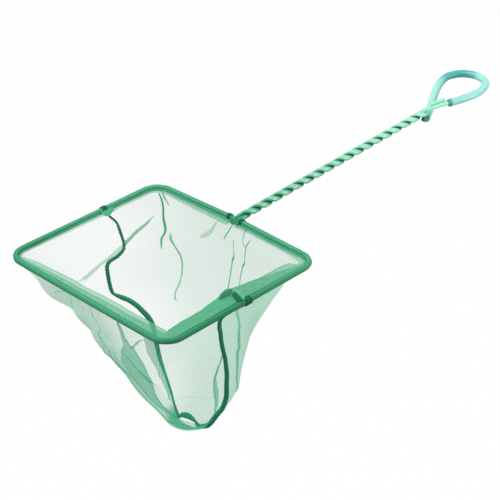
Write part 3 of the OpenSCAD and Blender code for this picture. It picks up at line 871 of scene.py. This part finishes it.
# The turned-over end at the joint has cover 2, so it is painted fully dark, as painted shade
JOINT_END_IN_SHADE = ("joint_end_in_shade", [(-67.8, -63.5, 1.9), (-69.3, -68, 1.3), (-70.4, -72.2, 2)],
             [(-65, -63.4, 3), (-66.4, -68.2, 3), (-67.6, -72.8, 2.6)], 2, 0.3)
SLOT_SCRAP = ("slot_scrap", [(-1.4, 4.4, 1.6), (-1.6, 0.8, 1.9), (-0.6, -4, 1.7)],
              [(-3.8, 2.2, -0.8), (-4.4, 0, -1.4), (-3.4, -5.4, -0.8)], 1.6, 0.4)
LEFT_SCRAP = ("left_scrap", [(-55, 70.4, 0.4), (-50, 70.6, 0.6), (-43.5, 70.8, 0.4)],
              [(-54.2, 66.6, -1), (-52, 65, -1.2), (-46, 67.8, -0.6)], 1.15, 0.4)
CORNER_END = ("corner_end", [(1.7, -51.5, 0.8), (-1, -57, 2.2), (-5.5, -64, 1.7)],
              [(1.7, -53.8, 0.8), (-2, -59.2, 2.2), (-6.6, -65.6, 1.7)], 0.95, 0.2)
SCRAPS = {"near": [JOINT_FOLD, JOINT_END_IN_SHADE], "left": [LEFT_SCRAP, SLOT_SCRAP],
          "right": [CORNER_END]}
for side, path in HEMS.items():
    add_hem(side + "_hem", path, "hem_" + side, SCRAPS[side])

# %% [markdown]
# ## The bag's shape
# The bag is two panels, sewn to each other down one side, along the bottom and up the other.
# Each row of shares says where the two seams pass at one depth and how far the panels belly
# out there. Under the hem the bag is as square as the hoop, and lower down it is a soft sack.

# %% Sizes of the bag
BAG_DEPTH, SEAM_HALF, NET_TOP = 125.4, 0.6, -1.7
# Depth; left seam along and across; right seam along and across; near and far belly
BAG_SHARES = np.array([
    (0, 0.38, 1, 0.5, -1, 1, 1), (0.03, 0.355, 0.975, 0.545, -0.93, 0.94, 1.01),
    (0.08, 0.325, 0.93, 0.575, -0.855, 0.85, 1.05), (0.16, 0.32, 0.88, 0.552, -0.79, 0.78, 1.1),
    (0.19, 0.328, 0.846, 0.536, -0.765, 0.775, 1.09),
    (0.21, 0.345, 0.83, 0.525, -0.75, 0.775, 1.08),
    (0.23, 0.377, 0.835, 0.517, -0.738, 0.775, 1.07),
    (0.25, 0.432, 0.857, 0.511, -0.728, 0.77, 1.05),
    (0.27, 0.456, 0.84, 0.505, -0.72, 0.755, 1.03),
    (0.35, 0.46, 0.812, 0.48, -0.692, 0.72, 0.95), (0.41, 0.458, 0.78, 0.46, -0.677, 0.695, 0.86),
    (0.43, 0.434, 0.7, 0.453, -0.67, 0.69, 0.82), (0.44, 0.417, 0.655, 0.45, -0.667, 0.688, 0.8),
    (0.47, 0.395, 0.565, 0.442, -0.657, 0.685, 0.76),
    (0.55, 0.371, 0.432, 0.427, -0.64, 0.645, 0.65), (0.62, 0.382, 0.372, 0.419, -0.62, 0.59, 0.57),
    (0.72, 0.406, 0.27, 0.405, -0.585, 0.485, 0.44), (0.8, 0.418, 0.18, 0.402, -0.535, 0.4, 0.36),
    (0.86, 0.4255, 0.112, 0.412, -0.475, 0.33, 0.3), (0.95, 0.44, 0.02, 0.425, -0.38, 0.2, 0.1),
    (1, 0.44, -0.02, 0.425, -0.25, 0.03, 0.02)])
SQUARE_SHARE = {"near": 0.35, "far": 0.52}
DRAWN_SHARE = 0.3
# The near corner's cloth hangs square for longer; the left corner's hangs out as a pouch
CORNER_AT, CORNER_SPREAD, CORNER_LATE = 0.72, 0.09, 0.4
POUCH_AT, POUCH_SPREAD, POUCH_DEEP, POUCH_END, POUCH_OUT = 0.36, 0.05, 0.14, 0.3, 9.0
FULLNESS = {"near": 1.3, "far": 0.75}

# %% The bag's shape


def smooth_interp(x, xs, ys):
    """Values of a smooth curve through the points xs, ys, which passes each without a kink."""
    steep = np.diff(ys) / np.diff(xs)
    both = steep[1:] * steep[:-1]
    slope = np.where(both > 0, 2 * both / (steep[1:] + steep[:-1] + (both <= 0)), 0)
    slope = np.r_[steep[0], slope, steep[-1]]
    i = np.clip(np.searchsorted(xs, x, side="right") - 1, 0, len(xs) - 2)
    h = xs[i + 1] - xs[i]
    f = (x - xs[i]) / h
    return (ys[i] * (1 + 2 * f) * (1 - f) ** 2 + slope[i] * h * f * (1 - f) ** 2
            + ys[i + 1] * f * f * (3 - 2 * f) - slope[i + 1] * h * f * f * (1 - f))


def bag_rows(depths):
    """Rows like those of BAG_SHARES, at the given depths."""
    columns = [smooth_interp(depths, BAG_SHARES[:, 0], BAG_SHARES[:, k]) for k in range(1, 7)]
    return np.stack([depths] + columns, axis=1)


def seam_places(rows, along, across):
    """Points of a seam, whose shares are in two columns of the rows."""
    return np.stack([HANDLE_SIDE_X - rows[:, along] * CENTRE_LENGTH, rows[:, across] * HALF_W,
                     NET_TOP - rows[:, 0] * BAG_DEPTH], axis=1)


def bag_panel(path, side, u, depths):
    """Grid of points of one panel: rows go down, and u runs from the left seam to the right."""
    near = side == "near"
    rows, top = bag_rows(depths), resampled(path, u)[None]
    swing = ((1 - np.cos(np.pi * u)) / 2)[None, :, None]
    left, right = seam_places(rows, 1, 2)[:, None], seam_places(rows, 3, 4)[:, None]
    # Under the hem a panel hangs straight, and only beside a seam it is drawn along with it
    drawn = eased(1 - u / DRAWN_SHARE)[:, None]
    square = top + (left - np.array(join_left)) * (1 - swing if near else drawn)
    square += (right - np.array(join_right)) * (drawn[::-1] if near else swing)
    late = np.zeros_like(u)
    if near:
        late = CORNER_LATE * np.exp(-((u - CORNER_AT) / CORNER_SPREAD) ** 2)
        hang = eased(depths / POUCH_DEEP)
        hang *= eased((POUCH_END - depths) / (POUCH_END - POUCH_DEEP))
        square[..., 0] -= POUCH_OUT * hang[:, None] * np.exp(-((u - POUCH_AT) / POUCH_SPREAD) ** 2)
    square[..., 2] = left[..., 2]
    full = left + (right - left) * swing
    space = full[..., 0] - END_SIDE_X if near else HANDLE_SIDE_X - full[..., 0]
    share = rows[:, 5 if near else 6][:, None]
    swell = np.clip(np.sin(np.pi * u), 0, 1)[None] ** FULLNESS[side]
    belly = SEAM_HALF + (space - SEAM_HALF) * share * swell
    full[..., 0] += -belly if near else belly
    round_share = eased(depths[:, None] / (SQUARE_SHARE[side] + late))
    return mix(square, full, round_share[..., None])


MOUTHS = {"near": near_path, "far": left_path + right_path}
print("mouth of the near panel", round(stations(near_path)[-1][2]), "mm round")

# %% [markdown]
# ## Folds
# A real bag is never smooth: where the cloth is too wide for its place it laps over itself. A
# fold runs along a course drawn on the flat cloth: points beside it are drawn towards it and
# lifted on one side, and the cover makes the material show the layers that lie there. A leaf is
# a wider stretch of doubled cloth between two borders.

# %% Places on the cloth
PULL_PEAK = 0.4289  # highest value of q exp(-q q)
FADE_SHARE, COURSE_STEPS = 0.12, 6
FOLD_FLANK, LEAF_RISE = 1.6, 0.7
EDGE_BLUR, EDGE_HALF, EDGE_COVER = 0.9, 0.45, 0.35


def unit(ways):
    return ways / np.linalg.norm(ways, axis=2)[..., None]


def cloth_ways(grid):
    """At each point of a sheet: the ways across it, down it and off it."""
    across, down = unit(np.gradient(grid, axis=1)), unit(np.gradient(grid, axis=0))
    return across, down, np.cross(across, down)


def on_cloth(flat, u, depth):
    """The flat place of a point that is given by its two shares."""
    rows, columns = flat.shape[:2]
    y, x = depth * (rows - 1), u * (columns - 1)
    i, j = max(0, min(rows - 2, int(y))), max(0, min(columns - 2, int(x)))
    f, g = y - i, x - j
    return mix(mix(flat[i, j], flat[i, j + 1], g), mix(flat[i + 1, j], flat[i + 1, j + 1], g), f)


def nearest_on(course, flat):
    """For each point of the cloth: the step to the course, its side, and the place along it."""
    best = np.full(flat.shape[:2], 1e9)
    step, side = np.zeros_like(flat), np.zeros_like(best)
    place = np.zeros_like(best)
    for k, (a, b) in enumerate(zip(course, course[1:])):
        run = b - a
        t = np.clip(((flat - a) @ run) / (run @ run), 0, 1)
        away = flat - (a + t[..., None] * run)
        distance = np.linalg.norm(away, axis=2)
        nearer = distance < best
        best = np.where(nearer, distance, best)
        step = np.where(nearer[..., None], away, step)
        side = np.where(nearer, np.sign(run[0] * away[..., 1] - run[1] * away[..., 0]), side)
        place = np.where(nearer, (k + t) / (len(course) - 1), place)
    return step, side, place

# %% Laying a fold


def lay_fold(grid, flat, cover, course, shift, height, core):
    """Adds one fold to a panel's points and raises the cover where its layers lie."""
    course = np.array(through([np.array(p, dtype=float) for p in course], COURSE_STEPS))
    line = [on_cloth(flat, u, depth) for u, depth, _ in course]
    step, side, place = nearest_on(line, flat)
    half = np.interp(place, np.linspace(0, 1, len(course)), course[:, 2])
    away = np.linalg.norm(step, axis=2)
    q = away / (half + FOLD_FLANK)
    strength = eased(np.minimum(place, 1 - place) / FADE_SHARE)
    pull = strength * q * np.exp(-q * q) / PULL_PEAK
    across, down, off = cloth_ways(grid)
    way = step / np.maximum(away, 1e-6)[..., None]
    moved = grid - (shift * pull)[..., None] * (way[..., :1] * across + way[..., 1:] * down)
    moved += (height * pull * side)[..., None] * off
    layers = np.clip(0.5 + (half - away) / EDGE_BLUR, 0, 1)
    edge = EDGE_COVER * np.exp(-((away - half) / EDGE_HALF) ** 2) * (half > 2 * EDGE_HALF)
    return moved, mix(cover, core, strength * layers) + strength * edge


def lay_leaf(grid, flat, cover, core, rows):
    """Raises the cover and the cloth itself between two borders that are given by depth."""
    depths, u = np.linspace(0, 1, len(grid)), np.linspace(0, 1, grid.shape[1])[None]
    table = np.array(rows)
    first, last = (np.interp(depths, table[:, 0], table[:, k])[:, None] for k in (1, 2))
    width = (flat[:, -1, 0] - flat[:, 0, 0])[:, None]
    inner = np.minimum(u - first, last - u) * width
    # The leaf begins and ends within a millimetre of depth
    ends = np.clip(np.minimum(depths - table[0, 0], table[-1, 0] - depths) * BAG_DEPTH, 0, 1)
    layers = np.clip(0.5 + inner / EDGE_BLUR, 0, 1) * ends[:, None]
    edge = EDGE_COVER * np.exp(-(inner / EDGE_HALF) ** 2) * ends[:, None]
    off = unit(cloth_ways(grid)[2])
    return grid - LEAF_RISE * layers[..., None] * off, mix(cover, core, layers) + edge

# %% [markdown]
# ## The folds of this bag
# The far panel is creased inside the mouth, beside the handle's slot and down its middle. The
# near panel has doubled leaves on its left and under the near corner, and is bunched at the
# bottom. Each course lists shares of the panel's width and depth and half the width that its
# layers cover, in millimetres; then come its pull, its height and the cover of its layers.

# %% The folds' courses
FAR_FOLDS = [
    ([(0.187, 0.01, 0.5), (0.195, 0.1, 0.7), (0.19, 0.17, 0.75), (0.195, 0.233, 0.6),
      (0.196, 0.303, 0.4)], 0.3, 0.5, 1.35),
    ([(0.156, 0.138, 0.4), (0.13, 0.145, 0.8), (0.106, 0.153, 1.1), (0.052, 0.165, 1.4),
      (0.006, 0.183, 1.6), (-0.03, 0.19, 1.6)], 0.6, 0.6, 0.8),
    ([(0.213, 0.215, 0.5), (0.235, 0.256, 0.7), (0.259, 0.293, 0.7), (0.279, 0.328, 0.8),
      (0.288, 0.373, 0.8), (0.286, 0.416, 0.7), (0.222, 0.454, 0.6), (0.197, 0.476, 0.6),
      (0.195, 0.496, 0.5)], 0.5, 0.7, 1.1),
    ([(0.466, 0, 0.6), (0.471, 0.06, 0.7), (0.458, 0.125, 0.5)], 0.3, 0.5, 1.3),
    ([(0.503, 0.075, 0.5), (0.495, 0.213, 0.7), (0.498, 0.303, 0.8), (0.515, 0.4, 0.7)],
     0.3, 0.4, 1.3),
    ([(0.554, 0.03, 0.6), (0.557, 0.11, 0.7), (0.549, 0.2, 0.8), (0.548, 0.298, 0.8),
      (0.561, 0.36, 0.7)], 0.3, 0.4, 1.3),
    ([(0.513, 0, 0.5), (0.53, 0.05, 0.55), (0.551, 0.098, 0.5)], 0.2, 0.3, 1.1),
    ([(0.419, 0.03, 0.8), (0.412, 0.088, 1.2), (0.385, 0.15, 1.4), (0.348, 0.195, 0.9)],
     0.3, 0.4, 0.5),
    ([(0.197, 0, 0.5), (0.207, 0.05, 0.6), (0.22, 0.09, 0.5)], 0.2, 0.3, 1.1),
    ([(0.945, 0.02, 0.6), (0.942, 0.218, 0.8), (0.95, 0.4, 0.8), (0.952, 0.484, 0.8),
      (0.926, 0.647, 0.7), (0.851, 0.789, 0.6)], 0.5, 0.5, 0.9)]
NEAR_FOLDS = [
    ([(-0.02, 0.185, 1.4), (0.02, 0.198, 1.6), (0.079, 0.215, 1.7), (0.13, 0.217, 1.6),
      (0.189, 0.215, 1), (0.235, 0.208, 0.5)], 0.6, 0.6, 0.5),
    ([(0.64, 0.19, 0.5), (0.66, 0.145, 0.6), (0.692, 0.065, 0.7), (0.718, 0.028, 0.5)],
     0.2, 0.3, 0.85),
    ([(0.538, 0.01, 0.9), (0.518, 0.13, 1.6), (0.509, 0.226, 0.7), (0.487, 0.33, 1.3),
      (0.508, 0.363, 0.9)], 0.4, 0.6, 0.72),
    ([(0.532, 0.361, 0.5), (0.529, 0.424, 0.7), (0.542, 0.489, 0.5)], 0, 0, 0.8),
    ([(0.392, 0.083, 0.5), (0.433, 0.038, 0.6), (0.475, 0.003, 0.5)], 0, 0, 0.7),
    ([(0.639, 0.652, 0.5), (0.735, 0.61, 0.6), (0.783, 0.634, 0.6), (0.824, 0.652, 0.6),
      (0.893, 0.677, 0.6)], 0.2, 0.3, 0.75)]
# Doubled cloth of the near panel: cover, then rows of depth and the shares of its two borders
NEAR_LEAVES = [
    (0.76, [(0, 0.632, 0.638), (0.1, 0.626, 0.64), (0.15, 0.622, 0.661), (0.2, 0.613, 0.685),
            (0.25, 0.611, 0.714), (0.3, 0.593, 0.717), (0.35, 0.572, 0.714), (0.4, 0.562, 0.704),
            (0.45, 0.543, 0.673), (0.5, 0.538, 0.64), (0.55, 0.557, 0.63), (0.6, 0.566, 0.621),
            (0.7, 0.581, 0.613), (0.76, 0.6, 0.635)]),
    (0.66, [(0, 0.72, 0.758), (0.1, 0.715, 0.765), (0.15, 0.726, 0.766), (0.2, 0.739, 0.766),
            (0.25, 0.752, 0.769), (0.3, 0.754, 0.766), (0.4, 0.746, 0.755), (0.5, 0.724, 0.732),
            (0.65, 0.68, 0.686)]),
    (0.5, [(0.36, 0.49, 0.51), (0.4, 0.46, 0.51), (0.45, 0.44, 0.49), (0.5, 0.42, 0.53),
           (0.55, 0.4, 0.55), (0.6, 0.4, 0.565), (0.7, 0.4, 0.58), (0.75, 0.4, 0.592),
           (0.8, 0.4, 0.632), (0.85, 0.4, 0.684), (0.9, 0.4, 0.8), (0.96, 0.4, 0.95)]),
    (0.75, [(0.39, 0.976, 0.985), (0.46, 0.936, 0.946), (0.54, 0.906, 0.916),
            (0.6, 0.9, 0.922), (0.64, 0.9, 0.927), (0.7, 0.897, 0.92), (0.79, 0.906, 0.918),
            (0.83, 0.924, 0.932)])]

# %% [markdown]
# ## The two panels
# Each panel is one grid of points, from the hem down to the bottom seam. It gets the small
# waves of loose cloth and then its folds. The cloth is more open where it is stretched and
# denser where it is bunched, as it is round the bottom.

# %% The bag's panels
NET_ROWS, NET_COLUMNS = 216, 440
WRINKLE, WRINKLE_LENGTH, WRINKLE_FADE = 1.3, 24.0, 12
BOTTOM_COVER, BOTTOM_FROM, BOTTOM_BLUR = 0.94, 0.9, 0.06
# Share of the panel's width and cover there
PLAIN_COVER = {
    "near": [(0, 0.05), (0.2, 0.06), (0.3, 0.2), (0.38, 0.4), (0.45, 0.52), (0.55, 0.48),
             (0.62, 0.32), (0.7, 0.2), (0.78, 0.15), (1, 0.15)],
    "far": [(0, 0.09), (0.15, 0.17), (0.3, 0.26), (0.5, 0.31), (0.7, 0.32), (0.8, 0.4),
            (0.88, 0.48), (0.95, 0.36), (1, 0.3)]}


def wrinkled(grid, flat, seed):
    """The panel with the small waves of loose cloth, which fade at its sewn edges."""
    rows, columns = grid.shape[:2]
    waves = np.array([[noise.noise(Vector((*(flat[i, j] / WRINKLE_LENGTH), seed)))
                       for j in range(columns)] for i in range(rows)])
    i, j = np.arange(rows)[:, None], np.arange(columns)
    inner = eased(WRINKLE_FADE / 2 * np.minimum(i, rows - 1 - i) / rows)
    inner = inner * eased(WRINKLE_FADE * np.minimum(j, columns - 1 - j) / columns)
    return grid + (WRINKLE * waves * inner)[..., None] * unit(cloth_ways(grid)[2])


def add_panel(side, folds, leaves, cloth):
    name = side + "_panel"
    u, depths = np.linspace(0, 1, NET_COLUMNS), np.linspace(0, 1, NET_ROWS)
    grid = bag_panel(MOUTHS[side], side, u, depths)
    flat = flat_places(grid)
    plain = np.interp(u, *zip(*PLAIN_COVER[side]))[None]
    bottom = BOTTOM_COVER if side == "near" else plain
    cover = mix(plain, bottom, np.clip((depths - BOTTOM_FROM) / BOTTOM_BLUR, 0, 1)[:, None])
    grid = wrinkled(grid, flat, len(name))
    for course, shift, height, core in folds:
        grid, cover = lay_fold(grid, flat, cover, course, shift, height, core)
    for core, rows in leaves:
        grid, cover = lay_leaf(grid, flat, cover, core, rows)
    piece = finish_piece(name, cloth_mesh(name, grid, cover, flat), cloth,
                         ["net_" + side])
    print(name, "surface", round(sum(p.area for p in piece.data.polygons), 4), "m2")


add_panel("near", NEAR_FOLDS, NEAR_LEAVES, near_cloth)
add_panel("far", FAR_FOLDS, [], far_cloth)

# %% [markdown]
# ## Finish: sewing thread
# All the sewing is done with spun polyester, a dull thread of short fibres. What is wound
# round something, be it a seam or the rim, is drawn as a coil.

# %% Thread
THREAD_R, STITCH_R, THREAD_RING = 0.24, 0.13, 6
FIBRE_LENGTH, FIBRE_RELIEF = 0.6, 0.1


def spun_polyester(name, hex_dark, hex_light):
    """Matt fibres of two tones, which break up the shine."""
    return grained(name, (hex_dark, hex_light), FIBRE_LENGTH, 0.5, FIBRE_RELIEF,
                   {"Roughness": 0.65, "Specular IOR Level": 0.2})


dark_thread = spun_polyester("dark spun polyester thread", "#0B5838", "#2B9A6E")
hem_thread = spun_polyester("spun polyester sewing thread", "#25906A", "#50C596")
tack_thread = spun_polyester("waxed tacking thread", "#074A2E", "#167350")
pale_thread = spun_polyester("pale spun polyester thread", "#45B58C", "#8FE0C0")
loop_thread = spun_polyester("textured polyester looper thread", "#0F6743", "#38A079")


def coil(path, radii, pitch, way, aside):
    """A thread wound round a path, with its turns one pitch apart."""
    places = []
    for (p, along, walked), radius in zip(stations(path), radii):
        u = along.cross(aside).normalized()
        v = along.cross(u)
        angle = way * 2 * math.pi * walked / pitch
        places.append(p + (u * math.cos(angle) + v * math.sin(angle)) * radius)
    return places

# %% [markdown]
# ## The overlock seam
# The panels are joined by a dark band of thread that narrows where the cloth is stretched and
# widens where it is bunched. Two looper threads wind round it in opposite ways, which gives it
# the look of a ladder. They are paler, so they are a piece of their own.

# %% Overlock seam
SEAM_PITCH, SEAM_STEP = 1.7, 0.16
SIDE_POINTS, BOTTOM_POINTS = 200, 20
# The band is smoother than the threads, so it takes every fourth point and has ten sides
BAND_STEPS, BAND_RING = 4, 10
# Share of the depth and half the seam's width there, in millimetres
LEFT_SEAM = [(0, 0.7), (0.08, 0.8), (0.11, 1.05), (0.17, 1), (0.22, 1.2), (0.28, 1.4),
             (0.4, 1.3), (0.415, 1), (0.43, 1.7), (0.52, 1.9), (0.6, 1.6), (0.7, 1.5),
             (0.8, 1.1), (0.9, 0.75), (1, 0.9)]
RIGHT_SEAM = [(0, 1.1), (0.15, 1.3), (0.45, 1.35), (0.7, 1.6), (0.9, 1.8), (1, 1.5)]
BOTTOM_SEAM = [(0, 0.9), (0.2, 1.7), (0.45, 2), (0.7, 1.5), (0.85, 0.9), (1, 1.5)]
# How far the bottom seam arches up, and how square that arch is
BOTTOM_RISE, BOTTOM_ARCH = 5.0, 0.6


def ladder(path, radii, pitch):
    """Two threads that cross each other round a path."""
    aside = Vector((1, 0, 0))
    return tubes([coil(path, radii, pitch, way, aside) for way in (1, -1)], THREAD_R, THREAD_RING)


def add_seam():
    rows = bag_rows(np.linspace(0, 1, SIDE_POINTS))
    left, right = seam_places(rows, 1, 2), seam_places(rows, 3, 4)
    shares = np.linspace(0, 1, BOTTOM_POINTS)
    bottom = mix(left[-1], right[-1], shares[:, None])
    bottom[:, 2] += BOTTOM_RISE * np.sin(np.pi * shares) ** BOTTOM_ARCH
    path = even_path(np.vstack([left, bottom[1:-1], right[::-1]]), SEAM_STEP)
    halves = []
    for p in path:
        if left[-1][1] >= p.y >= right[-1][1]:
            share, table = (left[-1][1] - p.y) / (left[-1][1] - right[-1][1]), BOTTOM_SEAM
        else:
            share = (NET_TOP - p.z) / BAG_DEPTH
            table = LEFT_SEAM if p.y > left[-1][1] else RIGHT_SEAM
        halves.append(np.interp(share, *zip(*table)))
    halves = np.array(halves)
    swell = (halves - THREAD_R)[::BAND_STEPS]
    band = tubes([path[::BAND_STEPS]], 1, BAND_RING, swell=swell)
    finish_piece("overlock_seam", band, dark_thread, ["bag_seam"])
    finish_piece("overlock_loops", ladder(path, halves - THREAD_R / 2, SEAM_PITCH), loop_thread)


add_seam()

# %% [markdown]
# ## Stitches and tacks
# Fine thread holds the hem with a row of short stitches, and some tight turns of a waxed dark
# one close it at its joints and beside the handle. A pale ladder holds the turned-over end.

# %% Stitches and tacks
STITCH, STITCH_GAP, STITCH_IN, STITCH_RISE = 2.3, 0.45, 1.0, 0.24
TACK_R, TACK_PITCH, TACK_STEP = THREAD_R + 0.08, 0.62, 0.03
# Middle of each tack, how far it reaches from there, and how proud it is, in millimetres
TACKS = {"tack_left": [((-50.4, HALF_W, 0), (1.9, 0, 0), 0.15)],
         "tack_right": [((-63.8, -HALF_W, 0), (2.2, 0, 0), 0.45)],
         "slot_tacks": [((-0.1, side * 5.2, 0), (-0.04, side * 1.5, 0), 0.1)
                        for side in (1, -1)]}
LADDER = [(-64.4, -62.6, 3.9), (-65.6, -68.6, 3.8), (-67, -73.2, 2.9)]
LADDER_HALF, LADDER_PITCH, LADDER_STEP = 0.55, 1.3, 0.1


def add_stitches(name, path, node):
    arcs = [[]]
    for p, way, walked in stations(path):
        along = walked % (STITCH + STITCH_GAP)
        if along > STITCH:
            arcs += [[]] if arcs[-1] else []
            continue
        lift = STITCH_RISE * math.sin(math.pi * along / STITCH)
        tilt = waved(flap_at(p)[1], walked)
        arcs[-1].append(in_section(p, way, tilt, RIM_R + STITCH_IN, LAYER_GAP / 2 + lift))
    mesh = tubes([arc for arc in arcs if len(arc) > 2], STITCH_R, THREAD_RING)
    finish_piece(name, mesh, hem_thread, [node])


def wound(middle, reach, proud):
    """A thread wound round the rim."""
    middle, reach = Vector(middle), Vector(reach)
    path = even_path([middle - reach, middle + reach], TACK_STEP)
    return coil(path, [RIM_R + THREAD_R + proud] * len(path), TACK_PITCH, 1, Vector((0, 0, 1)))


for side, path in HEMS.items():
    add_stitches(side + "_stitches", path, "stitching_" + side)
for node, windings in TACKS.items():
    mesh = tubes([wound(*winding) for winding in windings], TACK_R, THREAD_RING)
    finish_piece("thread_" + node, mesh, tack_thread, [node])
rungs = even_path([Vector(p) for p in LADDER], LADDER_STEP)
finish_piece("joint_ladder", ladder(rungs, [LADDER_HALF] * len(rungs), LADDER_PITCH), pale_thread)
